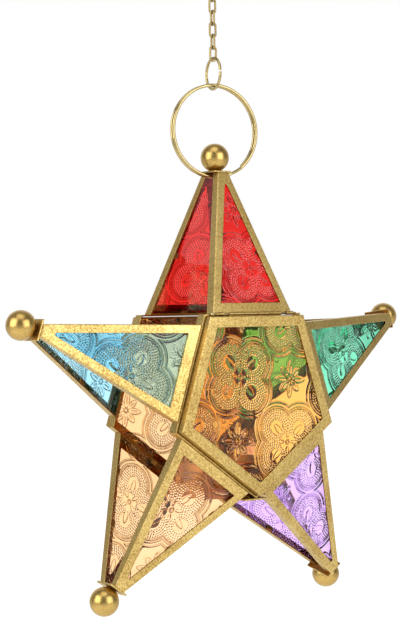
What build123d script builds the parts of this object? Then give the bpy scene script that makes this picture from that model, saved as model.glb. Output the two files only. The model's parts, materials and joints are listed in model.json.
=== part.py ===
from build123d import *
from math import atan2, cos, degrees, radians, sin, sqrt, tan
import os

# A five-armed hanging star lantern. X runs to the right, Y runs from the door towards the back,
# and Z runs up. The origin is where the top hook bears on whatever carries it. Millimetres.

# Chamber: a pentagon, one corner down, between a front and a back ring
SHEET = 0.6                  # thickness of the pressed sheet trays
GLASS = 2.2                  # thickness of the pressed glass
GLASS_GAP = 0.25             # play between a pane's edge and its tray
RING_APOTHEM = 36.7          # centre to the outside of a chamber ring's flat side
RING_WALL = 0.7
RING_DEPTH = 4.8
RING_HALF_SPACING = 27.0     # star's middle plane to the outer edge of each ring
PAN_GAP = 0.3                # play between a pan's rim and the ring round it
PAN_PROUD = 3.5              # how far the door and the back cover stand out of the rings
PAN_DEPTH = 4.8
PAN_STRIP = 4.8              # width of the face strip round a pan's glass
PAN_CORNER = 0.4             # rounding of the pressed edges

# Pressed pattern of the two large panes: four-lobed flowers and daisies by turns on a square grid
RELIEF = 0.6                 # how far the pattern stands out of the pane's ground
MOTIF_STEP = 28.0            # centre of a flower to the centre of the next daisy
LOBE_OFFSET = 6.5            # centre of a flower to the centre of a lobe, across and up
LOBE_RADIUS = 8.4
LOBE_RIDGE = 1.0             # width of the ridge round the lobes
LOBE_SIDES = 12              # flat sides a lobe is drawn with, to keep the panes light
DROP_OFFSET = 8.2            # centre of a flower to the middle of the drop in each lobe
DROP_LENGTH = 7.0
DROP_WIDTH = 2.8
DAISY_RADIUS = 8.4
DAISY_NOTCH = 3.0            # centre of a daisy to the notch between two petals
PETAL_COUNT = 8
# Where a flower falls on each pane, across and up from its middle, and the pattern's turn
DOOR_PATTERN = ((-9.8, 8.8), -4)
BACK_PATTERN = ((4.0, -11.0), 8)

# Arms: each is a front and a back tray that lean together towards the tip
ARM_BASE_WIDTH = 44.0
ARM_TIP_WIDTH = 5.6
ARM_TIP_RADIUS = 101.0       # star's centre to the end of the trays
ARM_TIP_HALF_DEPTH = 6.3
ARM_SIDE_STRIP = 3.7         # width of the face strip along the arm
ARM_BASE_STRIP = 4.8         # width of the face strip beside the chamber
FLANGE_AT_BASE = 5.0         # depth of a tray's rim
FLANGE_AT_TIP = 3.7
LONG_TRAY = 6.0              # how much further out the front tray of a right-hand arm reaches
LONG_TRAY_ARMS = ["right", "lower_right"]
ARM_NAMES = ["top", "right", "lower_right", "lower_left", "left"]

# Tabs bent from the rims over the glass
TAB_WIDTH = 3.0
TAB_REACH = 2.7
TAB_THICK = 0.5
TAB_ROOT = 1.0
LONG_SIDE_TABS = [0.27, 0.62]
SHORT_SIDE_TAB = 0.44
BASE_TAB = 0.04

# Tips
TIP_PLATE_WIDTH = 9.5
TIP_PLATE_DEPTH = 11.5
TIP_PLATE_THICK = 0.8
BALL_RADIUS = 6.5
BALL_FLAT = 0.25             # how much of the ball is flattened where it is soldered on

# Tea light cup on its cross strap
CUP_BORE_RADIUS = 20.6
CUP_WALL = 0.6
CUP_HEIGHT = 16.0
CUP_LIP = 0.5
STRAP_WIDTH = 12.0
STRAP_THICK = 0.8

# Door hinge along the top side of the pentagon
PIN_RADIUS = 0.45
PIN_CLEARANCE = 0.05
KNUCKLE_RADIUS = 0.85
KNUCKLE_CLEAR_OF_DOOR = 0.15
KNUCKLE_CLEAR_OF_ARM = 0.25
FIXED_KNUCKLE = 4.0          # length of each of the two knuckles on the ring
FIXED_KNUCKLE_CENTRE = 19.5
DOOR_KNUCKLE = 29.0
PIN_HALF_LENGTH = 23.0
PIN_HEAD_RADIUS = 0.9
LEAF_THICK = 0.55

# Hanging parts, all turned a little about the vertical from the star's own plane
HANG_YAW = 10.0
RING_WIRE = 1.45             # split ring: wire, mean radius and distance between its two turns
SPLIT_RING_RADIUS = 20.97
SPLIT_RING_SPREAD = 2.1
SPLIT_RING_END = 20.0        # angle of the front turn's cut end from the bottom
SPLIT_RING_STEP = 22.0       # angle over which the wire steps from the front turn to the rear one
RING_PLAY = 0.5              # play between the top tip plate's edges and the ring
JUMP_WIRE = 1.3
JUMP_RADIUS = 7.1
JUMP_PLAY = 0.3
JUMP_SPLIT = 6.0             # opening between the jump ring's cut ends, degrees
LINK_WIRE = 1.0
LINK_INNER_LENGTH = 5.6
LINK_INNER_WIDTH = 1.9
LINK_PLAY = 0.15
LINK_COUNT = 8
HOOK_WIRE = 1.6
HOOK_LOOP_RADIUS = 7.0       # upper loop of the S hook, to the wire's centre
HOOK_EYE_RADIUS = 3.6        # lower eye of the S hook, to the wire's centre
HOOK_MOUTH = 72.0            # degrees left open in the upper loop
HOOK_EYE_MOUTH = 40.0

os.makedirs("parts", exist_ok=True)

# Heights of the hanging parts above the star's centre, from the tip up to the hook
HALF_TURN = 36.0
ring_corner_radius = RING_APOTHEM / cos(radians(HALF_TURN))
plate_outside = ARM_TIP_RADIUS + TIP_PLATE_THICK
ring_inside_radius = SPLIT_RING_RADIUS - RING_WIRE / 2
plate_above_ring = sqrt(ring_inside_radius**2 - (TIP_PLATE_WIDTH / 2) ** 2)
ring_centre_height = ARM_TIP_RADIUS + plate_above_ring - RING_PLAY
ring_top_underside = ring_centre_height + SPLIT_RING_RADIUS - RING_WIRE / 2
jump_bottom_wire = ring_top_underside - JUMP_PLAY - JUMP_WIRE / 2
jump_centre_height = jump_bottom_wire + JUMP_RADIUS
jump_top_underside = jump_centre_height + JUMP_RADIUS - JUMP_WIRE / 2
last_link_height = jump_top_underside - LINK_PLAY + LINK_INNER_LENGTH / 2
link_pitch = LINK_INNER_LENGTH - LINK_PLAY
first_link_height = last_link_height + (LINK_COUNT - 1) * link_pitch
hook_eye_wire = first_link_height + LINK_INNER_LENGTH / 2 - LINK_PLAY - HOOK_WIRE / 2
hook_eye_height = hook_eye_wire + HOOK_EYE_RADIUS
hook_loop_height = hook_eye_height + HOOK_EYE_RADIUS + HOOK_LOOP_RADIUS
bearing_height = hook_loop_height + HOOK_LOOP_RADIUS - HOOK_WIRE / 2
STAR_Z = -bearing_height

star_plane = Plane(origin=(0, 0, STAR_Z), x_dir=(1, 0, 0), z_dir=(0, -1, 0))
side_plane = Plane(origin=(0, 0, STAR_Z), x_dir=(0, 1, 0), z_dir=(1, 0, 0))
along_ring = Vector(cos(radians(HANG_YAW)), -sin(radians(HANG_YAW)), 0)
ring_normal = Vector(sin(radians(HANG_YAW)), cos(radians(HANG_YAW)), 0)


def hang_plane(height, across):
    """Upright plane at a height above the star's centre; across is its sideways direction."""
    normal = across.cross(Vector(0, 0, 1))
    return Plane(origin=(0, 0, STAR_Z + height), x_dir=across, z_dir=normal)


with BuildSketch() as flower:
    for radius, mode in ((LOBE_RADIUS + LOBE_RIDGE / 2, Mode.ADD), (LOBE_RADIUS - LOBE_RIDGE / 2, Mode.SUBTRACT)):
        with GridLocations(2 * LOBE_OFFSET, 2 * LOBE_OFFSET, 2, 2):
            RegularPolygon(radius, LOBE_SIDES, mode=mode)
    with PolarLocations(DROP_OFFSET, 4, start_angle=45):
        with BuildLine():
            Polyline(
                (-DROP_LENGTH / 2, 0), (0, -DROP_WIDTH / 2), (DROP_LENGTH / 2, 0), (0, DROP_WIDTH / 2), close=True
            )
        make_face()

with BuildSketch() as daisy:
    with BuildLine():
        Polyline(
            *[
                Vector(DAISY_NOTCH if corner % 2 else DAISY_RADIUS, 0).rotate(Axis.Z, corner * 180 / PETAL_COUNT)
                for corner in range(2 * PETAL_COUNT)
            ],
            close=True,
        )
    make_face()


def press_pane(ground, face, outline, inward, shift, twist):
    """A pane's ground with the pattern standing on it up to the face, cut off at the outline."""
    reach = max(Vector(corner).length for corner in outline.vertices())
    flowers = []
    daisies = []
    steps = range(-3, 4)
    for column in steps:
        for row in steps:
            centre = Vector(column * MOTIF_STEP, row * MOTIF_STEP).rotate(Axis.Z, twist) + Vector(*shift)
            if centre.length < reach + LOBE_OFFSET + LOBE_RADIUS:
                places = flowers if (column + row) % 2 == 0 else daisies
                places.append(Location((centre.X, centre.Y, 0), (0, 0, twist)))
    with BuildPart() as pane:
        add(ground)
        with BuildSketch(face):
            with Locations(*flowers):
                add(flower.sketch)
            with Locations(*daisies):
                add(daisy.sketch)
            add(outline, mode=Mode.INTERSECT)
        extrude(amount=GLASS / 2, dir=inward)
    return pane.part


def save(piece, name):
    piece.label = name
    export_step(piece, f"parts/{name}.step")
    print(f"{name}: {piece.volume:.1f} mm3, {len(piece.solids())} solid")


# Chamber rings. The front one carries the two fixed knuckles of the door's hinge.
door_top = RING_APOTHEM - RING_WALL - PAN_GAP
pin_y = -RING_HALF_SPACING - KNUCKLE_CLEAR_OF_ARM - KNUCKLE_RADIUS
pin_height = door_top + KNUCKLE_CLEAR_OF_DOOR + KNUCKLE_RADIUS
pin_plane = Plane(origin=(0, pin_y, STAR_Z + pin_height), x_dir=(0, 1, 0), z_dir=(1, 0, 0))

with BuildPart() as front_ring:
    with BuildSketch(star_plane.offset(RING_HALF_SPACING)):
        RegularPolygon(RING_APOTHEM, 5, major_radius=False, rotation=-90)
        RegularPolygon(RING_APOTHEM - RING_WALL, 5, major_radius=False, rotation=-90, mode=Mode.SUBTRACT)
    extrude(amount=-RING_DEPTH)
    for side in (-1, 1):
        knuckle_plane = pin_plane.offset(side * FIXED_KNUCKLE_CENTRE)
        with BuildSketch(knuckle_plane):
            Circle(KNUCKLE_RADIUS)
            leaf_top = RING_APOTHEM - pin_height
            leaf_reach = -RING_HALF_SPACING - pin_y + RING_WALL
            with Locations((leaf_reach / 2, leaf_top - LEAF_THICK / 2)):
                Rectangle(leaf_reach, LEAF_THICK)
            Circle(PIN_RADIUS + PIN_CLEARANCE, mode=Mode.SUBTRACT)
        extrude(amount=FIXED_KNUCKLE / 2, both=True)

with BuildPart() as back_ring:
    with BuildSketch(star_plane.offset(-RING_HALF_SPACING)):
        RegularPolygon(RING_APOTHEM, 5, major_radius=False, rotation=-90)
        RegularPolygon(RING_APOTHEM - RING_WALL, 5, major_radius=False, rotation=-90, mode=Mode.SUBTRACT)
    extrude(amount=RING_DEPTH)

save(front_ring.part, "front_ring")
save(back_ring.part, "back_ring")

# Door and back cover: pentagonal pans whose rims slide into the rings
pan_face = RING_HALF_SPACING + PAN_PROUD
pan_apothem = door_top


def tab_profile(free_edge):
    """Section of a bent tab: from the rim's free edge down to the back of the glass."""
    on_glass = SHEET + GLASS
    with BuildLine() as outline:
        Polyline(
            (0, free_edge - TAB_ROOT),
            (0, free_edge),
            (SHEET + TAB_THICK, free_edge),
            (TAB_REACH, on_glass + TAB_THICK),
            (TAB_REACH, on_glass),
            (SHEET + TAB_THICK, on_glass),
            (SHEET, free_edge - TAB_ROOT),
            close=True,
        )
    return outline.line


def make_pan(outward):
    """A pan with its face outward along the star plane's normal (1) or against it (-1)."""
    with BuildPart() as pan:
        with BuildSketch(star_plane.offset(outward * pan_face)):
            RegularPolygon(pan_apothem, 5, major_radius=False, rotation=-90)
        extrude(amount=-outward * PAN_DEPTH)
        face_edges = pan.faces().sort_by(Axis.Y)[-1 if outward < 0 else 0].edges()
        fillet(face_edges, PAN_CORNER)
        with BuildSketch(star_plane.offset(outward * (pan_face - SHEET))):
            RegularPolygon(pan_apothem - SHEET, 5, major_radius=False, rotation=-90)
        extrude(amount=-outward * PAN_DEPTH, mode=Mode.SUBTRACT)
        with BuildSketch(star_plane.offset(outward * pan_face)):
            RegularPolygon(pan_apothem - PAN_STRIP, 5, major_radius=False, rotation=-90)
        extrude(amount=-outward * PAN_DEPTH, mode=Mode.SUBTRACT)
        for turn in range(5):
            side_angle = radians(90 + 72 * turn)
            inward = Vector(-cos(side_angle), 0, -sin(side_angle))
            rim_point = Vector(0, -outward * pan_face, STAR_Z) - inward * pan_apothem
            along = inward.cross(Vector(0, outward, 0))
            with BuildSketch(Plane(origin=rim_point, x_dir=inward, z_dir=along)):
                with BuildLine():
                    add(tab_profile(PAN_DEPTH))
                make_face()
            extrude(amount=TAB_WIDTH / 2, both=True)
    return pan.part


def make_pan_glass(outward, shift, twist):
    """A pan's pane; its ground lies behind the pan's strips by the height of the pattern."""
    face = Plane(origin=(0, -outward * (pan_face - SHEET), STAR_Z), x_dir=(outward, 0, 0), z_dir=(0, -outward, 0))
    with BuildSketch() as outline:
        RegularPolygon(pan_apothem - SHEET - GLASS_GAP, 5, major_radius=False, rotation=-90)
    with BuildPart() as ground:
        with BuildSketch(face.offset(-RELIEF)):
            add(outline.sketch)
        extrude(amount=RELIEF - GLASS)
    return press_pane(ground.part, face, outline.sketch, Vector(0, outward, 0), shift, twist)


with BuildPart() as door_frame:
    add(make_pan(1))
    with BuildSketch(pin_plane):
        Circle(KNUCKLE_RADIUS)
        with Locations((0, -KNUCKLE_RADIUS - KNUCKLE_CLEAR_OF_DOOR)):
            Rectangle(KNUCKLE_RADIUS, KNUCKLE_RADIUS, align=(Align.CENTER, Align.MIN))
        with Locations((0, -KNUCKLE_RADIUS - KNUCKLE_CLEAR_OF_DOOR - SHEET / 2)):
            Rectangle(KNUCKLE_RADIUS, SHEET, align=(Align.CENTER, Align.MIN))
    extrude(amount=DOOR_KNUCKLE / 2, both=True)
    with BuildSketch(pin_plane):
        Circle(PIN_RADIUS + PIN_CLEARANCE)
    extrude(amount=DOOR_KNUCKLE, both=True, mode=Mode.SUBTRACT)

with BuildPart() as hinge_pin:
    with BuildSketch(pin_plane):
        Circle(PIN_RADIUS)
    extrude(amount=PIN_HALF_LENGTH, both=True)
    with Locations(pin_plane.offset(-PIN_HALF_LENGTH - PIN_HEAD_RADIUS / 2)):
        Sphere(PIN_HEAD_RADIUS)

save(door_frame.part, "door_frame")
save(make_pan_glass(1, *DOOR_PATTERN), "door_glass")
save(hinge_pin.part, "hinge_pin")
save(make_pan(-1), "back_cover_frame")
save(make_pan_glass(-1, *BACK_PATTERN), "back_cover_glass")

# Arm trays. The side outline leans from the ring to the tip, so each tray is the overlap of
# the arm's outline seen from the front with its profile seen from the side. Trays are drawn as
# the front tray of the top arm. On the right-hand arms the front tray is longer than the back
# one, so both are cut off at a slant along the plate that closes the tip.
def arm_outline(tip_radius, inset, base_inset):
    """Trapezium of the arm seen from the front, drawn in by an amount along its sides."""
    taper = (ARM_BASE_WIDTH - ARM_TIP_WIDTH) / 2 / (tip_radius - RING_APOTHEM)
    side_inset = inset / cos(atan2(taper, 1))
    low = RING_APOTHEM + base_inset
    high = tip_radius + FLANGE_AT_TIP
    high_half = ARM_TIP_WIDTH / 2 - FLANGE_AT_TIP * taper - side_inset
    low_half = ARM_BASE_WIDTH / 2 - base_inset * taper - side_inset
    if high_half < SHEET:
        high = high - (SHEET - high_half) / taper
        high_half = SHEET
    return [(-low_half, low), (low_half, low), (high_half, high), (-high_half, high)]


def side_profile(tip_radius, slant, start, depth_at_base, depth_at_tip, end_inset=0):
    """Section of the arm's front half in the upright plane through the star's axis."""
    base_y = -RING_HALF_SPACING + start
    tip_y = -ARM_TIP_HALF_DEPTH + start
    end_line = tip_radius - end_inset * sqrt(1 + slant**2) - slant * start
    corners = []
    for depth_low, depth_high in ((0, 0), (depth_at_base, depth_at_tip)):
        slope = (tip_y + depth_high - base_y - depth_low) / (tip_radius - RING_APOTHEM)
        height = end_line - slant * (depth_high - slope * (tip_radius - end_line)) / (1 + slant * slope)
        corners.append((base_y + depth_low, RING_APOTHEM))
        corners.append((base_y + depth_low + slope * (height - RING_APOTHEM), height))
    return [corners[0], corners[1], corners[3], corners[2]]


def arm_slab(outline, profile):
    """Solid whose front view is the outline and whose side view is the profile."""
    with BuildPart() as slab:
        with BuildSketch(star_plane):
            Polygon(*outline, align=None)
        extrude(amount=RING_HALF_SPACING, both=True)
        with BuildSketch(side_plane):
            Polygon(*profile, align=None)
        extrude(amount=ARM_BASE_WIDTH, both=True, mode=Mode.INTERSECT)
    return slab.part


def tray_lean(tip_radius):
    """How far a tray leans inward for each millimetre away from the star's centre."""
    return (RING_HALF_SPACING - ARM_TIP_HALF_DEPTH) / (tip_radius - RING_APOTHEM)


def face_normal(lean):
    return Vector(0, 1, -lean).normalized()


def make_tabs(tip_radius):
    """Two tabs on the left side, one on the right side and one at the ring."""
    lean = tray_lean(tip_radius)
    normal = face_normal(lean)
    length = tip_radius - RING_APOTHEM
    half_base = ARM_BASE_WIDTH / 2
    half_tip = ARM_TIP_WIDTH / 2
    with BuildPart() as tabs:
        for side, share in [(-1, share) for share in LONG_SIDE_TABS] + [(1, SHORT_SIDE_TAB), (0, 0)]:
            across = side * (half_base + (half_tip - half_base) * share) if side else BASE_TAB * ARM_BASE_WIDTH
            edge = Vector(side * (half_tip - half_base), lean * length, length) if side else Vector(1, 0, 0)
            point = Vector(across, -RING_HALF_SPACING + lean * length * share, RING_APOTHEM + length * share)
            inward = edge.cross(normal).normalized()
            if inward.dot(Vector(-side, 0, 0 if side else 1)) < 0:
                inward = -inward
            free_edge = (FLANGE_AT_BASE + (FLANGE_AT_TIP - FLANGE_AT_BASE) * share) * normal.Y
            with BuildSketch(Plane(origin=point + Vector(0, 0, STAR_Z), x_dir=inward, z_dir=inward.cross(normal))):
                with BuildLine():
                    add(tab_profile(free_edge))
                make_face()
            extrude(amount=TAB_WIDTH / 2, both=True)
    return tabs.part


def make_tray(tip_radius, slant):
    along_y = SHEET / face_normal(tray_lean(tip_radius)).Y
    deep = FLANGE_AT_BASE
    block = arm_slab(
        arm_outline(tip_radius, 0, 0), side_profile(tip_radius, slant, 0, FLANGE_AT_BASE, FLANGE_AT_TIP)
    )
    with BuildPart() as tabs:
        add(block)
        add(make_tabs(tip_radius), mode=Mode.INTERSECT)
    with BuildPart() as tray:
        add(block)
        fillet(tray.faces().sort_by(lambda face: face.normal_at().Y)[0].edges(), PAN_CORNER)
        add(arm_slab(arm_outline(tip_radius, SHEET, SHEET),
                     side_profile(tip_radius, slant, along_y, deep, deep, SHEET)), mode=Mode.SUBTRACT)
        add(arm_slab(arm_outline(tip_radius, ARM_SIDE_STRIP, ARM_BASE_STRIP),
                     side_profile(tip_radius, slant, 0, deep, deep, ARM_SIDE_STRIP)), mode=Mode.SUBTRACT)
        add(tabs.part)
    return tray.part


def make_arm_glass(tip_radius, slant):
    inset = SHEET + GLASS_GAP
    normal = face_normal(tray_lean(tip_radius))
    start, depth = SHEET / normal.Y, GLASS / normal.Y
    return arm_slab(
        arm_outline(tip_radius, inset, inset), side_profile(tip_radius, slant, start, depth, depth, inset)
    )


def place_on_arm(piece, turn, reverse):
    """Copy of a piece of the top arm on another arm, turned front to back when asked."""
    centre = Location((0, 0, STAR_Z))
    move = centre * Location((0, 0, 0), (0, 72 * turn, 0)) * Location((0, 0, 0), (0, 0, 180 if reverse else 0))
    with BuildPart() as placed:
        add(piece.moved(centre.inverse()).moved(move))
    return placed.part


for turn, arm in enumerate(ARM_NAMES):
    longer = LONG_TRAY if arm in LONG_TRAY_ARMS else 0
    slant = longer / (2 * ARM_TIP_HALF_DEPTH)
    for side, tip_radius, side_slant in (
        ("front", ARM_TIP_RADIUS + longer, slant),
        ("back", ARM_TIP_RADIUS, -slant),
    ):
        tray = make_tray(tip_radius, side_slant)
        save(place_on_arm(tray, turn, side == "back"), f"{arm}_arm_{side}_frame")
        pane = make_arm_glass(tip_radius, side_slant)
        save(place_on_arm(pane, turn, side == "back"), f"{arm}_arm_{side}_glass")
    tip_plane = Plane(
        origin=(0, 0, STAR_Z + ARM_TIP_RADIUS + longer / 2), x_dir=(1, 0, 0), z_dir=(0, slant, 1)
    )
    with BuildPart() as tip_plate:
        with BuildSketch(tip_plane):
            Rectangle(TIP_PLATE_WIDTH, TIP_PLATE_DEPTH * sqrt(1 + slant**2))
        extrude(amount=TIP_PLATE_THICK)
    with BuildPart() as tip_ball:
        with Locations(tip_plane.offset(TIP_PLATE_THICK + BALL_RADIUS - BALL_FLAT)):
            Sphere(BALL_RADIUS)
        split(bisect_by=tip_plane.offset(TIP_PLATE_THICK), keep=Keep.TOP)
    save(place_on_arm(tip_plate.part, turn, False), f"{arm}_tip_plate")
    save(place_on_arm(tip_ball.part, turn, False), f"{arm}_tip_ball")

# Tea light cup with a rolled lip, soldered on a strap that spans the two rings' lowest corners
strap_top = STAR_Z - ring_corner_radius
with BuildPart() as cup_strap:
    with Locations((0, 0, strap_top)):
        Box(STRAP_WIDTH, 2 * RING_HALF_SPACING, STRAP_THICK, align=(Align.CENTER, Align.CENTER, Align.MAX))

cup_outside = CUP_BORE_RADIUS + CUP_WALL
with BuildPart() as candle_cup:
    with BuildSketch(Plane.XZ):
        with BuildLine():
            Polyline(
                (0, strap_top),
                (cup_outside, strap_top),
                (cup_outside, strap_top + CUP_HEIGHT),
                (CUP_BORE_RADIUS, strap_top + CUP_HEIGHT),
                (CUP_BORE_RADIUS, strap_top + CUP_WALL),
                (0, strap_top + CUP_WALL),
                close=True,
            )
        make_face()
        with Locations((cup_outside, strap_top + CUP_HEIGHT - CUP_LIP)):
            Circle(CUP_LIP)
        with Locations((CUP_BORE_RADIUS - CUP_LIP, strap_top + CUP_HEIGHT - 2 * CUP_LIP)):
            Rectangle(CUP_LIP, 2 * CUP_LIP, align=(Align.MIN, Align.MIN), mode=Mode.SUBTRACT)
    revolve(axis=Axis.Z)

save(cup_strap.part, "cup_strap")
save(candle_cup.part, "candle_cup")

# Split ring: two turns of wire side by side, joined by a short step, passed under the top plate
ring_plane = hang_plane(ring_centre_height, along_ring)
turn_start = SPLIT_RING_END - 90
turn_sweep = SPLIT_RING_STEP - 360
with BuildLine(ring_plane.offset(SPLIT_RING_SPREAD / 2)) as front_turn:
    CenterArc((0, 0), SPLIT_RING_RADIUS, turn_start, turn_sweep)
with BuildLine(ring_plane.offset(-SPLIT_RING_SPREAD / 2)) as rear_turn:
    CenterArc((0, 0), SPLIT_RING_RADIUS, turn_start, turn_sweep)
with BuildPart() as suspension_ring:
    with BuildLine() as ring_path:
        add(front_turn.line)
        Spline(
            front_turn.line @ 1,
            rear_turn.line @ 0,
            tangents=(front_turn.line % 1, rear_turn.line % 0),
        )
        add(rear_turn.line)
    with BuildSketch(Plane(origin=front_turn.line @ 0, z_dir=front_turn.line % 0)):
        Circle(RING_WIRE / 2)
    sweep(path=ring_path.line)
save(suspension_ring.part, "suspension_ring")

# Jump ring between the split ring and the chain, cut at its front
jump_origin = (0, 0, STAR_Z + jump_centre_height)
with BuildPart() as jump_ring:
    with BuildSketch(Plane(origin=jump_origin, x_dir=-ring_normal, z_dir=(0, 0, 1))):
        with Locations((JUMP_RADIUS, 0)):
            Circle(JUMP_WIRE / 2)
    revolve(axis=Axis(jump_origin, along_ring), revolution_arc=360 - JUMP_SPLIT)
save(jump_ring.part, "jump_ring")


def make_link(plane):
    """Closed oval link, its long axis upright in the plane."""
    bend = (LINK_INNER_WIDTH + LINK_WIRE) / 2
    half_straight = (LINK_INNER_LENGTH + LINK_WIRE) / 2 - bend
    with BuildPart() as link:
        with BuildLine(plane) as path:
            Line((bend, -half_straight), (bend, half_straight))
            CenterArc((0, half_straight), bend, 0, 180)
            Line((-bend, half_straight), (-bend, -half_straight))
            CenterArc((0, -half_straight), bend, 180, 180)
        with BuildSketch(Plane(origin=path.line @ 0, z_dir=path.line % 0)):
            Circle(LINK_WIRE / 2)
        sweep()
    return link.part


for number in range(1, LINK_COUNT + 1):
    height = first_link_height - (number - 1) * link_pitch
    faces_back = (LINK_COUNT - number) % 2 == 0
    across = along_ring if faces_back else ring_normal
    save(make_link(hang_plane(height, across)), f"chain_link_{number:02d}")

# S hook at the chain's upper end
with BuildPart() as top_hook:
    with BuildLine(hang_plane(hook_loop_height, along_ring)) as bends:
        CenterArc((0, 0), HOOK_LOOP_RADIUS, -90, 360 - HOOK_MOUTH)
        CenterArc((0, -HOOK_LOOP_RADIUS - HOOK_EYE_RADIUS), HOOK_EYE_RADIUS, 90, 360 - HOOK_EYE_MOUTH)
    with BuildSketch(Plane(origin=bends.line @ 0, z_dir=bends.line % 0)):
        Circle(HOOK_WIRE / 2)
    sweep()
save(top_hook.part, "top_hook")
print(f"star centre at z = {STAR_Z:.3f} mm")
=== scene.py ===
# %% [markdown]
# # A star lantern of pressed glass
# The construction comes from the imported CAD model: sheet metal trays, a door, rings and a chain.
# This file adds what makes it look real: patterned glass, aged brass, light and a camera.
# Each step first says what the real piece is like, how it could be made and why one way was chosen.

# %% Load the frame
import json
import math
from collections import namedtuple

import bpy
import numpy as np
from mathutils import Matrix, Vector


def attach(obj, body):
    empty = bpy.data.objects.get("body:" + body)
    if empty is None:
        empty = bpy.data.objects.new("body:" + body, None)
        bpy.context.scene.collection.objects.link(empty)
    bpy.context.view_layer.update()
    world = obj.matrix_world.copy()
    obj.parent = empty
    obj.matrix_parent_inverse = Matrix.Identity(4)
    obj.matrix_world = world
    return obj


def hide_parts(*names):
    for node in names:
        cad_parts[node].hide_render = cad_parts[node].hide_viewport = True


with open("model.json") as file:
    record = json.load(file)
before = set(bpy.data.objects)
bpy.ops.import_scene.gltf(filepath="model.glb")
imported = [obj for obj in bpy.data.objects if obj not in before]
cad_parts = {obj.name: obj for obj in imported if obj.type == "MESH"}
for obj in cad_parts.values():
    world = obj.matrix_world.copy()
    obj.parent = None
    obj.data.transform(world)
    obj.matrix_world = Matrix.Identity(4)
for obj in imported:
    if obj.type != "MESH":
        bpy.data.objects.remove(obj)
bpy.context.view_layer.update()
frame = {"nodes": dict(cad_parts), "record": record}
nodes = frame["nodes"]

# %% [markdown]
# Every length below is written in millimetres, as on a workshop drawing, and turned into metres
# where Blender needs it. The star's centre hangs below the hook, where the origin is. Only the
# studio round the lantern, its floor and lamps, is measured in metres.

# %% Units and the star's centre
MM = 0.001
STAR_CENTRE = Vector((0, 0, -216.075)) * MM
print("star centre:", tuple(round(c, 4) for c in STAR_CENTRE))

# %% [markdown]
# The photograph was taken almost level, from the left of the door and about three quarters of a
# metre away, with a long lens. A long lens keeps the far arms nearly as large as the near ones.
# The camera's place was worked out from the star's corners, so it is set by numbers.

# %% Camera
SENSOR_WIDTH = 36                         # of a full-size camera
LENS = 93.5                               # focal length
CAMERA_PLACE = (-440.6, -594.6, 39.4)     # from the star's centre
LINE_OF_SIGHT = (0.587, 0.810, -0.002)    # direction from the camera into the picture
CAMERA_TOP = (0.014, -0.008, 1)           # which way is up; the camera was held a little askew

camera_data = bpy.data.cameras.new("camera")
camera_data.sensor_width = SENSOR_WIDTH
camera_data.lens = LENS
camera = bpy.data.objects.new("camera", camera_data)
bpy.context.scene.collection.objects.link(camera)
view_from = STAR_CENTRE + Vector(CAMERA_PLACE) * MM
view_line = Vector(LINE_OF_SIGHT).normalized()
view_right = view_line.cross(Vector(CAMERA_TOP)).normalized()
view_up = view_right.cross(view_line)
facing = Matrix((view_right, view_up, -view_line)).transposed()
camera.matrix_world = Matrix.Translation(view_from) @ facing.to_4x4()
bpy.context.scene.camera = camera
bpy.context.scene.view_settings.view_transform = "Standard"
print("camera at", tuple(round(c, 3) for c in view_from))

# %% [markdown]
# Materials and the world are made of nodes. By hand each node is added, set and wired with the
# mouse; here a few helpers do the same, so that a cell reads like a list of nodes and wires.

# %% Helpers for node trees
def tree_of(owner):
    """Empty node tree of a material or world."""
    owner.use_nodes = True
    owner.node_tree.nodes.clear()
    return owner.node_tree


def add_node(tree, kind, **settings):
    node = tree.nodes.new(kind)
    for key, value in settings.items():
        setattr(node, key, value)
    return node


def join(tree, source, target):
    tree.links.new(source, target)


def set_inputs(node, values):
    """Numbers and colours for the sockets with these names."""
    for label, value in values.items():
        node.inputs[label].default_value = value


def math_node(tree, operation, first, second, clamp=False):
    """Result of one calculation; each side may be a number or a socket."""
    node = add_node(tree, "ShaderNodeMath", operation=operation)
    node.use_clamp = clamp
    for socket, value in zip(node.inputs, (first, second)):
        if isinstance(value, (int, float)):
            socket.default_value = value
        else:
            join(tree, value, socket)
    return node.outputs[0]


def vector_node(tree, operation, first, second=None):
    """Outputs of one vector calculation; each side may be a vector or a socket."""
    node = add_node(tree, "ShaderNodeVectorMath", operation=operation)
    for socket, value in zip(node.inputs, (first, second)):
        if isinstance(value, bpy.types.NodeSocket):
            join(tree, value, socket)
        elif value is not None:
            socket.default_value = value
    return node.outputs


def remap(tree, value, low, high, to_low, to_high, curve="LINEAR"):
    """Value moved from the range low to high into another range."""
    ranged = add_node(tree, "ShaderNodeMapRange", interpolation_type=curve)
    set_inputs(ranged, {"From Min": low, "From Max": high, "To Min": to_low, "To Max": to_high})
    join(tree, value, ranged.inputs["Value"])
    return ranged.outputs["Result"]


def show_surface(tree, shader):
    """Wires a shader to the output of its material."""
    output = add_node(tree, "ShaderNodeOutputMaterial")
    join(tree, shader.outputs[0], output.inputs["Surface"])


print("node helpers ready")

# %% [markdown]
# A lantern for a shop picture hangs before a white paper sweep, with a dimmer room behind the
# camera. Metal and glass need both: the paper makes them glow, and the room draws the dark lines in
# the relief and at the bends. Dull surfaces get a weaker glow, so pale colours don't burn out.
# Light Path tells the rays apart, and the ray's direction says how much of the paper it meets.

# %% Paper sweep and room
WORLD_GLOW = 0.6      # brightness that dull surfaces get from all round
ROOM_SHADE = 0.20     # brightness of the room behind the camera in metal and glass
PAPER_EDGE = 0.85     # where the paper is full white, and where it has ended, as cosines
ROOM_EDGE = 0.15      # of the angle from the camera's line of sight
WHITE = (1, 1, 1, 1)

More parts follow.
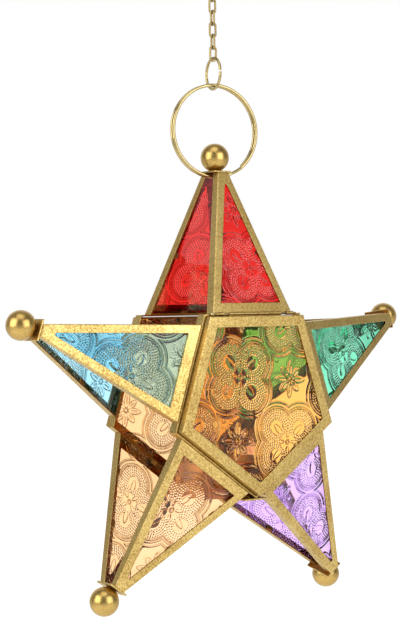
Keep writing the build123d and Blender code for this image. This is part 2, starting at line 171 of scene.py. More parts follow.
world = bpy.data.worlds.new("paper_and_room")
bpy.context.scene.world = world
tree = tree_of(world)
rays = add_node(tree, "ShaderNodeLightPath").outputs
shiny = math_node(tree, "MAXIMUM", rays["Is Glossy Ray"], rays["Is Transmission Ray"])
direction = add_node(tree, "ShaderNodeTexCoord").outputs["Generated"]
heading = vector_node(tree, "DOT_PRODUCT", direction, view_line)["Value"]
sweep = remap(tree, heading, ROOM_EDGE, PAPER_EDGE, ROOM_SHADE, 1.0, "SMOOTHSTEP")
mirrored = math_node(tree, "MULTIPLY", shiny, sweep)
bright = math_node(tree, "MAXIMUM", rays["Is Camera Ray"], mirrored)
dull = math_node(tree, "SUBTRACT", 1.0, math_node(tree, "MAXIMUM", rays["Is Camera Ray"], shiny))
strength = math_node(tree, "ADD", bright, math_node(tree, "MULTIPLY", dull, WORLD_GLOW))
background = add_node(tree, "ShaderNodeBackground")
background.inputs["Color"].default_value = WHITE
join(tree, strength, background.inputs["Strength"])
join(tree, background.outputs[0], add_node(tree, "ShaderNodeOutputWorld").inputs["Surface"])
print("room behind the camera:", ROOM_SHADE)

# %% [markdown]
# Each ball shows two broad highlights with a darker band between them, so one soft box stands at
# each side of the camera, half way round to the lantern's sides. A weaker one hangs above and
# lights the upper strips. They are placed by their angle from the camera and their height. Small
# lamps would put hard sparks on the balls.

# %% Soft boxes
BOX_SIDE = 0.9    # metres


def soft_box(name, turn, climb, distance, power):
    """Square lamp aimed at the star, turned from the camera to the right and raised, in degrees."""
    to_camera = Vector((-view_line.x, -view_line.y, 0)).normalized()
    aside = Matrix.Rotation(math.radians(turn), 3, "Z") @ to_camera
    offset = (aside + Vector((0, 0, math.tan(math.radians(climb))))).normalized() * distance
    data = bpy.data.lights.new(name, "AREA")
    data.shape = "SQUARE"
    data.size = BOX_SIDE
    data.energy = power
    lamp = bpy.data.objects.new(name, data)
    bpy.context.scene.collection.objects.link(lamp)
    lamp.location = STAR_CENTRE + offset
    lamp.rotation_euler = (-offset).to_track_quat("-Z", "Y").to_euler()


soft_box("left_soft_box", turn=-55, climb=20, distance=1.1, power=9.0)
soft_box("right_soft_box", turn=46, climb=16, distance=1.1, power=7.5)
soft_box("top_soft_box", turn=-10, climb=70, distance=1.2, power=4.0)

# %% [markdown]
# The floor lies well below the hanging star. It is a pale, dull sheet that glows a little for the
# camera and through the glass, so that it runs into the white background and still shows a soft
# shadow. Metal sees less of that glow, which keeps the undersides of the balls dark.

# %% Floor
FLOOR_DROP = 0.42       # metres below the star's centre
FLOOR_SIZE = 24         # metres
FLOOR_TINT = 0.86
FLOOR_ROUGHNESS = 0.9
FLOOR_GLOW = 0.62       # light that the floor adds of its own, seen straight or through glass
FLOOR_GLINT = 0.2       # and as metal mirrors it

bpy.ops.object.select_all(action="DESELECT")
floor_place = STAR_CENTRE - Vector((0, 0, FLOOR_DROP))
bpy.ops.mesh.primitive_plane_add(size=FLOOR_SIZE, location=floor_place)
floor = bpy.context.object
floor.name = "floor"
floor_paper = bpy.data.materials.new("floor_paper")
tree = tree_of(floor_paper)
shader = add_node(tree, "ShaderNodeBsdfPrincipled")
set_inputs(shader, {
    "Base Color": (FLOOR_TINT, FLOOR_TINT, FLOOR_TINT, 1),
    "Roughness": FLOOR_ROUGHNESS,
    "Specular IOR Level": 0.0,
    "Emission Color": WHITE,
})
rays = add_node(tree, "ShaderNodeLightPath").outputs
seen = math_node(tree, "MAXIMUM", rays["Is Camera Ray"], rays["Is Transmission Ray"])
glow = math_node(tree, "ADD", math_node(tree, "MULTIPLY", seen, FLOOR_GLOW),
                 math_node(tree, "MULTIPLY", rays["Is Glossy Ray"], FLOOR_GLINT))
join(tree, glow, shader.inputs["Emission Strength"])
show_surface(tree, shader)
floor.data.materials.append(floor_paper)
print("floor", FLOOR_DROP, "m below the star's centre")

# %% [markdown]
# The same wear shows on the trays, the balls, the wire and the cup, so it is a node group that each
# metal uses with its own numbers. Before the groups come a helper that makes an empty one with
# named sockets, a noise texture and a mix of two colours.

# %% Helpers for node groups
FLOAT = "NodeSocketFloat"
COLOUR = "NodeSocketColor"


def group_with(name, inputs, outputs):
    """Node group with float or colour sockets, and its input and output nodes."""
    group = bpy.data.node_groups.new(name, "ShaderNodeTree")
    for label, kind, value in inputs:
        socket = group.interface.new_socket(label, in_out="INPUT", socket_type=kind)
        socket.default_value = value
    for label, kind in outputs:
        group.interface.new_socket(label, in_out="OUTPUT", socket_type=kind)
    return group, add_node(group, "NodeGroupInput"), add_node(group, "NodeGroupOutput")


def noise(tree, scale, detail, vector, distortion=0.0):
    """Noise texture's factor; scale may be a number or a socket."""
    texture = add_node(tree, "ShaderNodeTexNoise")
    set_inputs(texture, {"Detail": detail, "Distortion": distortion})
    if isinstance(scale, (int, float)):
        texture.inputs["Scale"].default_value = scale
    else:
        join(tree, scale, texture.inputs["Scale"])
    join(tree, vector, texture.inputs["Vector"])
    return texture.outputs["Fac"]


def blend_colours(tree, factor, first, second):
    """Mix of two colours; each may be a tuple or a socket."""
    mix = add_node(tree, "ShaderNodeMix", data_type="RGBA")
    join(tree, factor, mix.inputs["Factor"])
    for key, colour in (("A", first), ("B", second)):
        socket = [s for s in mix.inputs if s.name == key and s.type == "RGBA"][0]
        if isinstance(colour, tuple):
            socket.default_value = colour
        else:
            join(tree, colour, socket)
    return [s for s in mix.outputs if s.type == "RGBA"][0]


print("group helpers ready")

# %% [markdown]
# The trays are sheet brass with an antique gold finish: satin, finely speckled, a little darker in
# patches where it was handled. Two noises give that, a fine one for the specks and a broad one for
# the patches. Where either is dark, the metal is tarnished in colour and rougher. The group puts
# out colour, roughness and a height, from the specks, for a faint bump.

# %% Aged metal
SPECK_RANGE = (0.34, 0.6)     # noise at which a speck is darkest, and at which it is gone
SPECK_DETAIL = 2.0
PATCH_RANGE = (0.35, 0.75)    # the same for a patch
PATCH_DETAIL = 3.0
PATCH_SCALE = 55.0
PATCH_SWIRL = 0.6
PATCH_DEPTH = 0.4             # how far a patch is tarnished

aged, aged_in, aged_out = group_with(
    "aged_metal",
    [("Clean", COLOUR, (0.8, 0.6, 0.3, 1)), ("Tarnish", COLOUR, (0.4, 0.25, 0.08, 1)),
     ("Speck Scale", FLOAT, 2200.0), ("Speck Depth", FLOAT, 0.5),
     ("Roughness Low", FLOAT, 0.3), ("Roughness High", FLOAT, 0.5)],
    [("Color", COLOUR), ("Roughness", FLOAT), ("Height", FLOAT)],
)
wear_sockets = aged_in.outputs
place = add_node(aged, "ShaderNodeTexCoord").outputs["Object"]
specks = noise(aged, wear_sockets["Speck Scale"], SPECK_DETAIL, place)
patches = noise(aged, PATCH_SCALE, PATCH_DETAIL, place, PATCH_SWIRL)
speck_mask = remap(aged, specks, *SPECK_RANGE, 1.0, 0.0)
dark_specks = math_node(aged, "MULTIPLY", speck_mask, wear_sockets["Speck Depth"])
dark_patches = remap(aged, patches, *PATCH_RANGE, PATCH_DEPTH, 0.0)
worn = math_node(aged, "ADD", dark_specks, dark_patches, clamp=True)
worn_colour = blend_colours(aged, worn, wear_sockets["Clean"], wear_sockets["Tarnish"])
join(aged, worn_colour, aged_out.inputs["Color"])
rough = add_node(aged, "ShaderNodeMix", data_type="FLOAT")
join(aged, worn, rough.inputs["Factor"])
join(aged, wear_sockets["Roughness Low"], rough.inputs["A"])
join(aged, wear_sockets["Roughness High"], rough.inputs["B"])
join(aged, rough.outputs["Result"], aged_out.inputs["Roughness"])
join(aged, specks, aged_out.inputs["Height"])
print("node group:", aged.name)

# %% [markdown]
# Inside the star the sheet lies in shade, which is why it looks nearly black through coloured
# glass.
# That shade is painted into the colour: a dark brown painted shade on the faces that look into the
# star. A second group finds those faces from their place and direction on the piece itself: they
# look at the star's middle plane or at its centre.

# %% Painted shade on faces that look into the star
TO_MIDDLE = (-0.5, -0.3)      # cosines at which a face looks fully, or no more, at the middle plane
TO_CENTRE = (-0.25, -0.12)    # the same for the star's centre
FLAT = (1, 0, 1)              # leaves out the part of a place that points to the front or back

# The mask marks the faces that get painted shade.
inner, _, inner_out = group_with("inner_faces", [], [("Mask", FLOAT)])
coords = add_node(inner, "ShaderNodeTexCoord").outputs
from_centre = vector_node(inner, "SUBTRACT", coords["Object"], STAR_CENTRE)["Vector"]
level = vector_node(inner, "MULTIPLY", from_centre, FLAT)["Vector"]
outward = vector_node(inner, "NORMALIZE", level)["Vector"]
leaving = vector_node(inner, "DOT_PRODUCT", outward, coords["Normal"])["Value"]
to_centre = remap(inner, leaving, *TO_CENTRE, 1.0, 0.0)
place_parts = add_node(inner, "ShaderNodeSeparateXYZ")
join(inner, from_centre, place_parts.inputs[0])
normal_parts = add_node(inner, "ShaderNodeSeparateXYZ")
join(inner, coords["Normal"], normal_parts.inputs[0])
front_or_back = math_node(inner, "SIGN", place_parts.outputs["Y"], 0.0)
facing_out = math_node(inner, "MULTIPLY", normal_parts.outputs["Y"], front_or_back)
to_middle = remap(inner, facing_out, *TO_MIDDLE, 1.0, 0.0)
join(inner, math_node(inner, "MAXIMUM", to_middle, to_centre), inner_out.inputs["Mask"])
print("node group:", inner.name)

# %% [markdown]
# One recipe makes all the metals. Folded sheet differs from the rest in two ways: its inner faces
# get a dark brown painted shade, and its folded edges are slightly round, so they catch a thin line
# of light. Rounding every edge in the mesh would multiply its faces, so a Bevel node bends only the
# shading there.

# %% Recipe for a metal
SPECK_HEIGHT = 0.1 * MM
BEND_RADIUS = 0.4 * MM
BEND_SAMPLES = 6


def metal(name, clean, tarnish, speck_scale, speck_depth, roughness, bump, inside=None):
    """Aged metal; inside is the painted shade colour of the faces that look into the star, for
    folded sheet.
    """
    material = bpy.data.materials.new(name)
    tree = tree_of(material)
    shader = add_node(tree, "ShaderNodeBsdfPrincipled")
    shader.inputs["Metallic"].default_value = 1.0
    wear = add_node(tree, "ShaderNodeGroup", node_tree=aged)
    set_inputs(wear, {
        "Clean": (*clean, 1), "Tarnish": (*tarnish, 1),
        "Speck Scale": speck_scale, "Speck Depth": speck_depth,
        "Roughness Low": roughness[0], "Roughness High": roughness[1],
    })
    colour = wear.outputs["Color"]
    bumps = add_node(tree, "ShaderNodeBump")
    set_inputs(bumps, {"Strength": bump, "Distance": SPECK_HEIGHT})
    join(tree, wear.outputs["Height"], bumps.inputs["Height"])
    if inside:
        bend = add_node(tree, "ShaderNodeBevel", samples=BEND_SAMPLES)
        bend.inputs["Radius"].default_value = BEND_RADIUS
        join(tree, bend.outputs["Normal"], bumps.inputs["Normal"])
        # Faces that look into the star get the inside colour as painted shade.
        mask = add_node(tree, "ShaderNodeGroup", node_tree=inner)
        colour = blend_colours(tree, mask.outputs["Mask"], colour, (*inside, 1))
    join(tree, bumps.outputs["Normal"], shader.inputs["Normal"])
    join(tree, colour, shader.inputs["Base Color"])
    join(tree, wear.outputs["Roughness"], shader.inputs["Roughness"])
    show_surface(tree, shader)
    return material


print("sheet edges rounded by", BEND_RADIUS / MM, "mm in the shading")

# %% [markdown]
# The sheet is speckled most, the balls are smoother and deeper in tone, the drawn wire of the rings
# and the hook is the shiniest and palest, the chain is the same wire with more dirt in it, and the
# cup is reddish. The record names a slot for each CAD node, and the slot picks the metal.

# %% Metals of the lantern
sheet_brass = metal(
    "sheet_brass", clean=(0.77, 0.575, 0.21), tarnish=(0.36, 0.22, 0.055),
    speck_scale=1400.0, speck_depth=0.7, roughness=(0.30, 0.46), bump=0.5,
    # painted shade colour of the faces that look into the star
    inside=(0.24, 0.11, 0.028),
)
ball_brass = metal(
    "ball_brass", clean=(0.62, 0.43, 0.14), tarnish=(0.34, 0.20, 0.05),
    speck_scale=1600.0, speck_depth=0.35, roughness=(0.26, 0.38), bump=0.25,
)
wire_brass = metal(
    "wire_brass", clean=(0.58, 0.47, 0.22), tarnish=(0.30, 0.21, 0.08),
    speck_scale=900.0, speck_depth=0.15, roughness=(0.18, 0.30), bump=0.05,
)
chain_brass = metal(
    "chain_brass", clean=(0.46, 0.36, 0.16), tarnish=(0.22, 0.15, 0.05),
    speck_scale=900.0, speck_depth=0.2, roughness=(0.2, 0.32), bump=0.05,
)
cup_brass = metal(
    "cup_brass", clean=(0.64, 0.36, 0.11), tarnish=(0.36, 0.17, 0.04),
    speck_scale=1800.0, speck_depth=0.3, roughness=(0.3, 0.5), bump=0.2,
)
metals = {
    "frame": sheet_brass, "balls": ball_brass, "wire": wire_brass,
    "chain": chain_brass, "cup": cup_brass,
}
slot_of = {s["node"]: s["material_slot"] for s in frame["record"]["subparts"]}
for name, slot in slot_of.items():
    if slot in metals:
        nodes[name].data.materials.clear()
        nodes[name].data.materials.append(metals[slot])
print("metal nodes:", sum(slot in metals for slot in slot_of.values()))

# %% [markdown]
# The panes are pressed glass. A mould leaves four-lobed flowers with beaded bands, daisies between
# them and ridges round both. Modelling each bead by hand would take thousands of pieces, so the
# relief is written as a height for every point of a fine grid, which is then cut to the tray's
# outline. Two simple shapes are enough to build it: a round ridge and a smooth step.

# %% Shapes of the relief
RELIEF = 0.6         # height of the pattern above the pane's ground, as in the solids
TOP_MARGIN = 0.02    # by which the pattern stays below that height


def ridge(distance, width):
    """Rounded ridge along the line where the distance is 0."""
    return np.exp(-((distance / width) ** 2))


def step_up(value, low, high):
    """Smooth step from 0 to 1."""
    t = np.clip((value - low) / (high - low), 0, 1)
    return t * t * (3 - 2 * t)


print("relief:", RELIEF, "mm")

# %% [markdown]
# A flower has four round lobes. It is alike in all four quarters, so one quarter is worked out from
# x and y without their signs. Three lines follow the lobes: the outline, a thinner one beside it
# and a heavier moulding outside both.

# %% Lobes and lines of the flower
LOBE_OFFSET = 6.5                 # flower's centre to a lobe's centre, across and up
LOBE_RADIUS = 8.4
OUTLINE = (0.0, 0.56, 0.34)       # each line: distance outside the lobes, height and width
SECOND_LINE = (1.1, 0.4, 0.3)
MOULDING = (2.9, 0.56, 0.42)
OUTLINE_START = (3.0, 4.5)        # radii round the flower's centre where the first two lines set in


def line_along(edge, offset, tall, wide):
    """Ridge that follows the lobes at some distance outside them."""
    return tall * ridge(edge - offset, wide)


print("flower:", 2 * (LOBE_OFFSET + LOBE_RADIUS), "mm across")

# %% [markdown]
# Rows of dots run round inside each lobe. They are pits, with a raised net between them. Along a
# row the angle is counted in dots, so the distance from a whole number says how near a dot is.

# %% Beads
BEAD_ROWS = (7.3, 6.2, 5.1, 4.0)    # radii of the rows in a lobe
BEAD_PITCH = 1.22
BEAD_EDGE = (0.26, 0.52)            # radii of a dot's floor and of its rim
NET_HEIGHT = 0.42
BAND_OUTER = (0.45, 0.7)            # the beaded band starts this far inside the outline,
BAND_INNER = (3.3, 3.5)             # ends at this radius in the lobe
BAND_START = (3.8, 4.6)             # and keeps this far from the flower's centre


def beads_in(radius):
    """Number of dots in a row."""
    return round(2 * math.pi * radius / BEAD_PITCH)


def dots_at(lobe_x, lobe_y, reach):
    """1 on a dot and 0 between the dots of a lobe."""
    dots = np.zeros_like(reach)
    for row, radius in enumerate(BEAD_ROWS):
        beads = beads_in(radius)
        turn = np.arctan2(lobe_y, lobe_x) * beads / (2 * math.pi) + row / 2
        along = (turn - np.round(turn)) * 2 * math.pi * radius / beads
        dots = np.maximum(dots, 1 - step_up(np.hypot(reach - radius, along), *BEAD_EDGE))
    return dots


print("beads in the rows of a lobe:", [beads_in(radius) for radius in BEAD_ROWS])

# %% [markdown]
# A drop lies in each lobe, its wide end towards the flower's centre, and a leaf lies between each
# two lobes. Both are long rounds: a point's distance from the middle, as a share of the length one
# way and of the width the other, reaches 1 at their edge.

# %% Drops and leaves
DROP_SHIFT = 1.2           # the drop's middle lies this much nearer to the flower's centre
DROP_LENGTH = 3.4          # half lengths and half widths
DROP_WIDTH = 1.25
DROP_TAPER = 0.1           # half width that it gains for each millimetre towards the centre
DROP_HEIGHT = 0.55
DROP_SIDE = (0.66, 1.0)    # shares of the size between which the side falls off
LEAF_PLACE = 3.7           # flower's centre to a leaf's middle
LEAF_LENGTH = 2.2
LEAF_WIDTH = 0.95
LEAF_HEIGHT = 0.5
LEAF_SIDE = (0.5, 1.0)


def drop_at(lobe_x, lobe_y):
    """Height of the drop in a lobe."""
    along = (lobe_x + lobe_y) / math.sqrt(2)
    across = (lobe_x - lobe_y) / math.sqrt(2)
    half_width = DROP_WIDTH - DROP_TAPER * along
    share = np.hypot((along + DROP_SHIFT) / DROP_LENGTH, across / half_width)
    return DROP_HEIGHT * (1 - step_up(share, *DROP_SIDE))


def leaf_at(x, y):
    """Height of the four leaves between the lobes."""
    along = np.maximum(np.abs(x), np.abs(y))
    across = np.minimum(np.abs(x), np.abs(y))
    share = np.hypot((along - LEAF_PLACE) / LEAF_LENGTH, across / LEAF_WIDTH)
    return LEAF_HEIGHT * (1 - step_up(share, *LEAF_SIDE))


print("drop:", 2 * DROP_LENGTH, "mm long; leaf:", 2 * LEAF_LENGTH, "mm long")

# %% [markdown]
# The flower adds all these up, with a small ring as its eye. It also gives back how far a point
# lies outside the lobes, where the daisies begin, and its dots and net, which carry the painted
# shade and painted highlight of the glass.

# %% Whole flower
EYE_RADIUS = 0.9
EYE_HEIGHT = 0.5
EYE_WIDTH = 0.3


def flower(x, y):
    """Height of the flower, distance outside its lobes, and its dots and net."""
    lobe_x = np.abs(x) - LOBE_OFFSET
    lobe_y = np.abs(y) - LOBE_OFFSET
    reach = np.hypot(lobe_x, lobe_y)
    centre_reach = np.hypot(x, y)
    edge = reach - LOBE_RADIUS
    away = step_up(centre_reach, *OUTLINE_START)
    height = line_along(edge, *OUTLINE) * away + line_along(edge, *SECOND_LINE) * away
    height += line_along(edge, *MOULDING)
    dots = dots_at(lobe_x, lobe_y, reach)
    band = step_up(-edge, *BAND_OUTER) * step_up(reach, *BAND_INNER)
    band *= step_up(centre_reach, *BAND_START)
    height += NET_HEIGHT * (1 - dots) * band
    height += drop_at(lobe_x, lobe_y)
    height += leaf_at(x, y) + EYE_HEIGHT * ridge(centre_reach - EYE_RADIUS, EYE_WIDTH)
    return height, edge, dots * band, (1 - dots) * band


print("height at the eye:", round(float(flower(np.array(EYE_RADIUS), np.array(0.0))[0]), 2), "mm")

# %% [markdown]
# A daisy lies between each two flowers. Its eight petals start at a small button, swell like a sine
# and have a groove down the middle; every second one is a little longer.

# %% Daisy
DAISY_RADIUS = 8.4
PETALS = 8
PETAL_LENGTHS = (0.93, 0.07)     # shares of the radius: the mean, and what it varies by
PETAL_WIDTH = 1.6                # half its width
PETAL_START = 1.0
PETAL_SIDE = (-0.05, 0.5)        # distances inside a petal's edge between which it rises
PETAL_HEIGHT = 0.58
GROOVE_DEPTH = 0.4
GROOVE_WIDTH = 0.36
GROOVE_START = (2.4, 3.4)        # radii between which the groove sets in
GROOVE_END = (1.4, 2.6)          # distances from the petal's tip between which it ends
BUTTON_HEIGHT = 0.55
BUTTON_EDGE = (0.5, 1.1)


def daisy(x, y):
    """Height of a daisy round its centre."""
    reach = np.hypot(x, y)
    angle = np.arctan2(y, x)
    petal_angle = 2 * math.pi / PETALS
    spoke = np.abs((angle / petal_angle) % 1 - 0.5) * 2
    across = (1 - spoke) * (petal_angle / 2) * reach
    mean, varied = PETAL_LENGTHS
    length = DAISY_RADIUS * (mean + varied * np.cos(angle * PETALS / 2))
    share = np.clip((reach - PETAL_START) / (length - PETAL_START), 0, 1)
    half_width = PETAL_WIDTH * np.sin(share * math.pi) ** 0.5
    petal = step_up(half_width - across, *PETAL_SIDE)
    groove = GROOVE_DEPTH * ridge(across, GROOVE_WIDTH) * step_up(reach, *GROOVE_START)
    groove *= step_up(length - reach, *GROOVE_END)
    button = BUTTON_HEIGHT * (1 - step_up(reach, *BUTTON_EDGE))
    return PETAL_HEIGHT * petal - groove * petal + button


print("daisy:", 2 * DAISY_RADIUS, "mm across,", PETALS, "petals")

# %% [markdown]
# Flowers and daisies take turns like the two colours of a chequerboard. The flowers alone then
# stand on a square grid that is turned by 45 degrees, so each point is first brought to the cell
# round its nearest flower, and from there its nearest daisy is the one along the longer way.

# %% Whole pattern
REPEAT = 28.0               # distance between a flower and the next daisy
DAISY_START = (2.5, 3.5)    # distances outside the flower between which the daisy sets in


def pressed(x, y):
    """Height of the whole pattern in millimetres, and the dots and net of its bands."""
    half = REPEAT / math.sqrt(2)
    turned_x = (x + y) / math.sqrt(2)
    turned_y = (x - y) / math.sqrt(2)
    cell_x = (turned_x + half) % (2 * half) - half
    cell_y = (turned_y + half) % (2 * half) - half
    near_x = (cell_x + cell_y) / math.sqrt(2)
    near_y = (cell_x - cell_y) / math.sqrt(2)
    height, edge, dots, net = flower(near_x, near_y)
    sideways = np.abs(near_x) >= np.abs(near_y)
    away_x = np.where(sideways, np.abs(near_x) - REPEAT, near_x)
    away_y = np.where(sideways, near_y, np.abs(near_y) - REPEAT)
    height = height + daisy(away_x, away_y) * step_up(edge, *DAISY_START)
    return np.clip(height, 0, RELIEF - TOP_MARGIN), dots, net


print("pattern repeats every", REPEAT, "mm")

# %% [markdown]
# Coloured pressed glass is clear and glossy. Steep walls of the relief and the pits of the beads
# bend light away, so they read darker than the flats, and the raised net between the beads reads
# paler. A painted pattern would look flat, so the shape does most of it, and a value stored at each
# point of the mesh only strengthens it with painted shade and painted highlight in the colour: 1 is
# a deep painted shade, 0 clear and -1 a pale painted highlight.

# %% Recipe for pressed glass
GLASS_IOR = 1.45
GLASS_ROUGHNESS = 0.02
GLASS_SPECULAR = 0.3
STREAK_SCALE = 120.0
STREAK_DETAIL = 2.0
STREAK_SWIRL = 0.8
STREAK_RANGE = (0.3, 0.7)         # noise at which a streak is palest and deepest
STREAK_TONES = (-0.05, 0.06)


def pressed_glass(name, clear, deep, pale):
    """Clear glass whose stored attribute runs from -1, a pale painted highlight, over 0, clear, to
    1, a deep painted shade.
    """
    material = bpy.data.materials.new(name)
    tree = tree_of(material)
    shader = add_node(tree, "ShaderNodeBsdfPrincipled")
    set_inputs(shader, {
        "Metallic": 0.0, "Transmission Weight": 1.0, "IOR": GLASS_IOR,
        "Roughness": GLASS_ROUGHNESS, "Specular IOR Level": GLASS_SPECULAR,
    })
    painted_relief_light = add_node(tree, "ShaderNodeAttribute", attribute_name="painted_relief_light").outputs["Fac"]
    place = add_node(tree, "ShaderNodeTexCoord").outputs["Object"]
    cloudy = noise(tree, STREAK_SCALE, STREAK_DETAIL, place, STREAK_SWIRL)
    streaks = remap(tree, cloudy, *STREAK_RANGE, *STREAK_TONES)
    # The stored value paints shade into the colour, with the glass's own streaks added; its
    # negative part paints a pale highlight.
    darker = math_node(tree, "ADD", painted_relief_light, streaks, clamp=True)
    lighter = math_node(tree, "MULTIPLY", painted_relief_light, -1.0, clamp=True)
    colour = blend_colours(tree, darker, (*clear, 1), (*deep, 1))
    colour = blend_colours(tree, lighter, colour, (*pale, 1))
    join(tree, colour, shader.inputs["Base Color"])
    show_surface(tree, shader)
    return material


print("glass bends light by an index of", GLASS_IOR)

# %% [markdown]
# The door is amber, the back cover and the lower left arm are peach, and the other arms are red,
# green, lilac and light blue. Light crosses each pane at its front and at its back, so a colour
# counts twice and is written paler than the pane looks.

# %% Six colours of glass
# deep is each glass's painted shade colour, pale its painted highlight colour.
glasses = {
    "glass_amber": pressed_glass(
        "amber_glass", clear=(0.98, 0.52, 0.11), deep=(0.15, 0.03, 0.004), pale=(1.0, 0.76, 0.36)),
    "glass_peach": pressed_glass(
        "peach_glass", clear=(0.95, 0.60, 0.30), deep=(0.16, 0.05, 0.01), pale=(1.0, 0.86, 0.62)),
    "glass_red": pressed_glass(
        "red_glass", clear=(0.86, 0.026, 0.02), deep=(0.16, 0.002, 0.002), pale=(1.0, 0.32, 0.29)),
    "glass_green": pressed_glass(
        "green_glass", clear=(0.22, 0.82, 0.52), deep=(0.006, 0.14, 0.06), pale=(0.55, 0.97, 0.78)),
    "glass_lilac": pressed_glass(
        "lilac_glass", clear=(0.74, 0.49, 0.95), deep=(0.15, 0.04, 0.26), pale=(0.90, 0.70, 1.0)),
    "glass_blue": pressed_glass(
        "blue_glass", clear=(0.41, 0.80, 0.94), deep=(0.02, 0.16, 0.26), pale=(0.66, 0.94, 1.0)),
}
print("glasses:", len(glasses))

# %% [markdown]
# Each visual pane takes the place of a CAD slab and must fit the same tray, so its plane, outline
# and thickness are measured from that slab and not written down twice. All panes are convex, so
# the outline is the hull round the slab's points: walk round them and drop each corner that turns
# inwards or lies on a straight side.

# %% Outline round some points
SAME_POINT_DIGITS = 6    # decimals of a metre to which points are compared
STRAIGHT = 0.01 * MM     # a corner must stand out by more than this from its neighbours' line


def hull(points):
    """Corners of the convex outline round some points, in order, without those on a side."""
    rounded = {(round(x, SAME_POINT_DIGITS), round(y, SAME_POINT_DIGITS)) for x, y in points}
    points = sorted(rounded)
    rings = []
    for run in (points, points[::-1]):
        ring = []
        for point in run:
            while len(ring) > 1:
                ax, ay = ring[-1][0] - ring[-2][0], ring[-1][1] - ring[-2][1]
                bx, by = point[0] - ring[-2][0], point[1] - ring[-2][1]
                if ax * by - ay * bx > STRAIGHT * math.hypot(bx, by):
                    break
                ring.pop()
            ring.append(point)
        rings.append(ring[:-1])
    return rings[0] + rings[1]


square = [(0, 0), (1, 0), (2, 0), (2, 2), (0, 2)]
print("a square with a spare point on one side has", len(hull(square)), "corners")

# %% [markdown]
# The slab's largest outer face gives the plane. Points of the slab's own relief lie up to its
# height behind the plane and are brought forward to it. The arms are turned about the star's
# centre, which gives each pane its own up direction.

# %% Measure the sheet of a CAD pane
ARM_TURNS = {"top": 0, "right": 72, "lower_right": 144, "lower_left": 216, "left": 288}    # degrees
OUTER_FACE = 0.5       # cosine from which a face counts as the pane's outer one
FRONT_MARGIN = 0.01    # added to the relief to find the points of the outer face

Sheet = namedtuple("Sheet", "middle right up normal outline depth")


def outer_plane(mesh, outward):
    """Direction of a slab's outer face, and how far its front and its back lie along it."""
    mesh.calc_loop_triangles()
    outer_faces = (t for t in mesh.loop_triangles if t.normal.y * outward > OUTER_FACE)
    normal = max(outer_faces, key=lambda t: t.area).normal.copy()
    levels = [v.co.dot(normal) for v in mesh.vertices]
    return normal, max(levels), min(levels)


def pane_sheet(name):
    """Plane and axes of a CAD pane's outer face, its outline in that plane, and its depth."""
    mesh = nodes[name].data
    normal, level, back = outer_plane(mesh, 1 if "back" in name else -1)
    front = []
    for vertex in mesh.vertices:
        depth = level - vertex.co.dot(normal)
        if depth < (RELIEF + FRONT_MARGIN) * MM:
            front.append(vertex.co + Vector((0, depth / normal.y, 0)))
    turn = math.radians(ARM_TURNS.get(name.split("_arm")[0], 0))
    outward_line = Vector((math.sin(turn), 0, math.cos(turn)))
    up = (outward_line - normal * outward_line.dot(normal)).normalized()
    right = up.cross(normal)
    flat = [((c - STAR_CENTRE).dot(right), (c - STAR_CENTRE).dot(up)) for c in front]
    middle = STAR_CENTRE + normal * (level - STAR_CENTRE.dot(normal))
    if "arm" in name:
        half_way = (min(y for _, y in flat) + max(y for _, y in flat)) / 2
        middle = middle + up * half_way
        flat = [(x, y - half_way) for x, y in flat]
    return Sheet(middle, right, up, normal, hull(flat), level - back)


print("door pane has", len(pane_sheet("door_glass").outline), "corners")

# %% [markdown]
# A pane starts as a plane grid, fine enough for the beads. Bisect cuts it along each side of the
# outline and throws the outside away. Its threshold is kept far below the grid's spacing, because
# points within it snap to the cut and would leave teeth.

# %% Cut a pane from a grid
GRID = 0.26                      # spacing of the grid
CUT_TOLERANCE = 0.001 * MM


def cut_grid(name, outline):
    """Fine grid cut along an outline, left in edit mode."""
    span_x = max(abs(p[0]) for p in outline) * 2
    span_y = max(abs(p[1]) for p in outline) * 2
    bpy.ops.object.select_all(action="DESELECT")
    bpy.ops.mesh.primitive_grid_add(
        x_subdivisions=round(span_x / GRID / MM), y_subdivisions=round(span_y / GRID / MM), size=1
    )
    pane = bpy.context.object
    pane.name = name
    pane.scale = (span_x, span_y, 1)
    bpy.ops.object.transform_apply(location=False, rotation=False, scale=True)
    bpy.ops.object.mode_set(mode="EDIT")
    for first, second in zip(outline, outline[1:] + outline[:1]):
        side = Vector((second[0] - first[0], second[1] - first[1], 0)).normalized()
        bpy.ops.mesh.select_all(action="SELECT")
        bpy.ops.mesh.bisect(plane_co=(*first, 0), plane_no=(side.y, -side.x, 0),
                            clear_outer=True, threshold=CUT_TOLERANCE)
    return pane


print("grid spacing:", GRID, "mm")

# %% [markdown]
# The open rim is extruded back by the pane's thickness, and one face closes the back, since
# pressed glass is smooth behind. Points that a cut left almost in one place are merged first, and
# non-manifold edges are just those of the open rim.

# %% Close the back of a pane
MERGE_DISTANCE = 0.004 * MM


def close_back(thickness):
    """Rim and back of the pane in edit mode, which it leaves."""
    bpy.ops.mesh.select_all(action="SELECT")
    bpy.ops.mesh.remove_doubles(threshold=MERGE_DISTANCE)
    bpy.ops.mesh.select_all(action="DESELECT")
    bpy.ops.mesh.select_mode(type="EDGE")
    bpy.ops.mesh.select_non_manifold()
    bpy.ops.mesh.extrude_edges_move(TRANSFORM_OT_translate={"value": (0, 0, -thickness)})
    bpy.ops.mesh.edge_face_add()
    bpy.ops.mesh.select_all(action="SELECT")
    bpy.ops.mesh.normals_make_consistent(inside=False)
    bpy.ops.object.mode_set(mode="OBJECT")


print("points closer than", MERGE_DISTANCE / MM, "mm are merged")

# %% [markdown]
# The glass takes its painted shade and painted highlight from the pattern too. The slope of the
# relief is measured by stepping a little aside, and gives the walls a deep painted shade; inside
# the bands the dots get painted shade and the net a pale painted highlight.

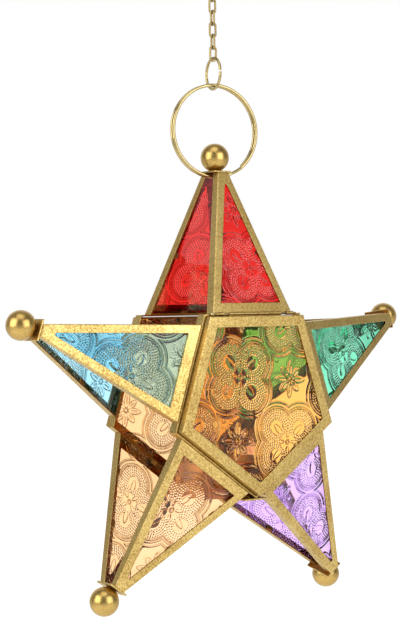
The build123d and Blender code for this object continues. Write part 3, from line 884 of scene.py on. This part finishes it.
# %% Height and painted light of the pattern
# A steep wall and a dot get painted shade, and the net between the beads a painted highlight.
SLOPE_STEP = 0.08      # step aside by which a slope is measured
WALL_SLOPE = 0.2       # slope from which a wall deepens the glass
WALL_GAIN = 1.1
WALL_DEEPEST = 0.95
BAND_FAINT = 0.1       # share of the beaded band below which a point is outside it
NET_PALENESS = 0.8


def pattern_at(x, y):
    """Height of the pattern, and its painted shade and painted highlight."""
    height, dots, net = pressed(x, y)
    slope_x = (pressed(x + SLOPE_STEP, y)[0] - height) / SLOPE_STEP
    slope_y = (pressed(x, y + SLOPE_STEP)[0] - height) / SLOPE_STEP
    steepness = (np.hypot(slope_x, slope_y) - WALL_SLOPE) * WALL_GAIN
    walls = np.clip(steepness, 0, WALL_DEEPEST) * (dots + net < BAND_FAINT)
    return height, walls + dots - NET_PALENESS * net


print("a wall is deepest at a slope of", round(WALL_SLOPE + WALL_DEEPEST / WALL_GAIN, 2))

# %% [markdown]
# The pattern is laid over each pane with its own shift and twist, because a pane is cut from the
# sheet wherever it falls. Its front is raised, and then all of it moves into the tray.

# %% Press the pattern into a pane
def press(pane, sheet, thickness, shift, twist):
    """Raises the pattern on the pane's front, stores its painted shade and painted highlight and
    moves the pane into its tray.
    """
    mesh = pane.data
    points = np.zeros(len(mesh.vertices) * 3)
    mesh.vertices.foreach_get("co", points)
    points = points.reshape(-1, 3)
    on_front = points[:, 2] > -0.5 * thickness
    cosine, sine = math.cos(math.radians(twist)), math.sin(math.radians(twist))
    x = points[:, 0] / MM - shift[0]
    y = points[:, 1] / MM - shift[1]
    height, painted_relief_light = pattern_at(x * cosine + y * sine, y * cosine - x * sine)
    points[:, 2] += (height * on_front) * MM
    placed = np.array(sheet.middle)[None] + points[:, :1] * np.array(sheet.right)
    placed = placed + points[:, 1:2] * np.array(sheet.up)
    placed = placed + (points[:, 2:] - RELIEF * MM) * np.array(sheet.normal)
    mesh.vertices.foreach_set("co", placed.ravel())
    attribute = mesh.attributes.new("painted_relief_light", "FLOAT", "POINT")
    attribute.data.foreach_set("value", (painted_relief_light * on_front).astype(np.float32))
    mesh.update()


print("the highest points stay", TOP_MARGIN, "mm inside the CAD pane's face")

# %% [markdown]
# One function now takes a pane from its measured sheet to its finished mesh. The relief is shaded
# smooth and the rim stays sharp. The pane replaces its CAD slab, keeps its slot, and rides on the
# door or on the lantern, so that it swings open with the door.

# %% Build a pane in place of its CAD slab
SHARP_ANGLE = 50    # degrees between faces from which an edge stays sharp


def build_pane(name, glass, shift, twist):
    """Pressed pane for a CAD node; shift in millimetres and twist in degrees place the pattern."""
    sheet = pane_sheet(name)
    thickness = sheet.depth - RELIEF * MM
    pane = cut_grid(name + "_pressed", sheet.outline)
    close_back(thickness)
    press(pane, sheet, thickness, shift, twist)
    pane.data.materials.append(glass)
    bpy.ops.object.shade_smooth_by_angle(angle=math.radians(SHARP_ANGLE))
    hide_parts(name)
    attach(pane, "door" if name == "door_glass" else "lantern")
    return pane


print("edges sharper than", SHARP_ANGLE, "degrees stay sharp")

# %% [markdown]
# On the door the flower sits in the upper left, as in the photograph, and a daisy to its right. The
# places on the other panes were chosen so that no two arms show the same piece of pattern.

# %% Twelve panes
pattern_places = {    # shift across and up, and twist
    "door_glass": ((-9.8, 8.8), -4),
    "back_cover_glass": ((4.0, -11.0), 8),
    "top_arm_front_glass": ((5.0, -12.0), 6),
    "top_arm_back_glass": ((-6.0, -13.0), 20),
    "left_arm_front_glass": ((-8.0, -9.0), 30),
    "left_arm_back_glass": ((3.0, 8.0), 12),
    "lower_left_arm_front_glass": ((4.0, -7.0), 25),
    "lower_left_arm_back_glass": ((-3.0, -8.0), 40),
    "lower_right_arm_front_glass": ((7.0, 4.0), 15),
    "lower_right_arm_back_glass": ((0.0, 10.0), 33),
    "right_arm_front_glass": ((2.0, -10.0), 10),
    "right_arm_back_glass": ((-7.0, 6.0), 21),
}
for name, (shift, twist) in pattern_places.items():
    pane = build_pane(name, glasses[slot_of[name]], shift, twist)
    print(pane.name, len(pane.data.polygons), "faces")
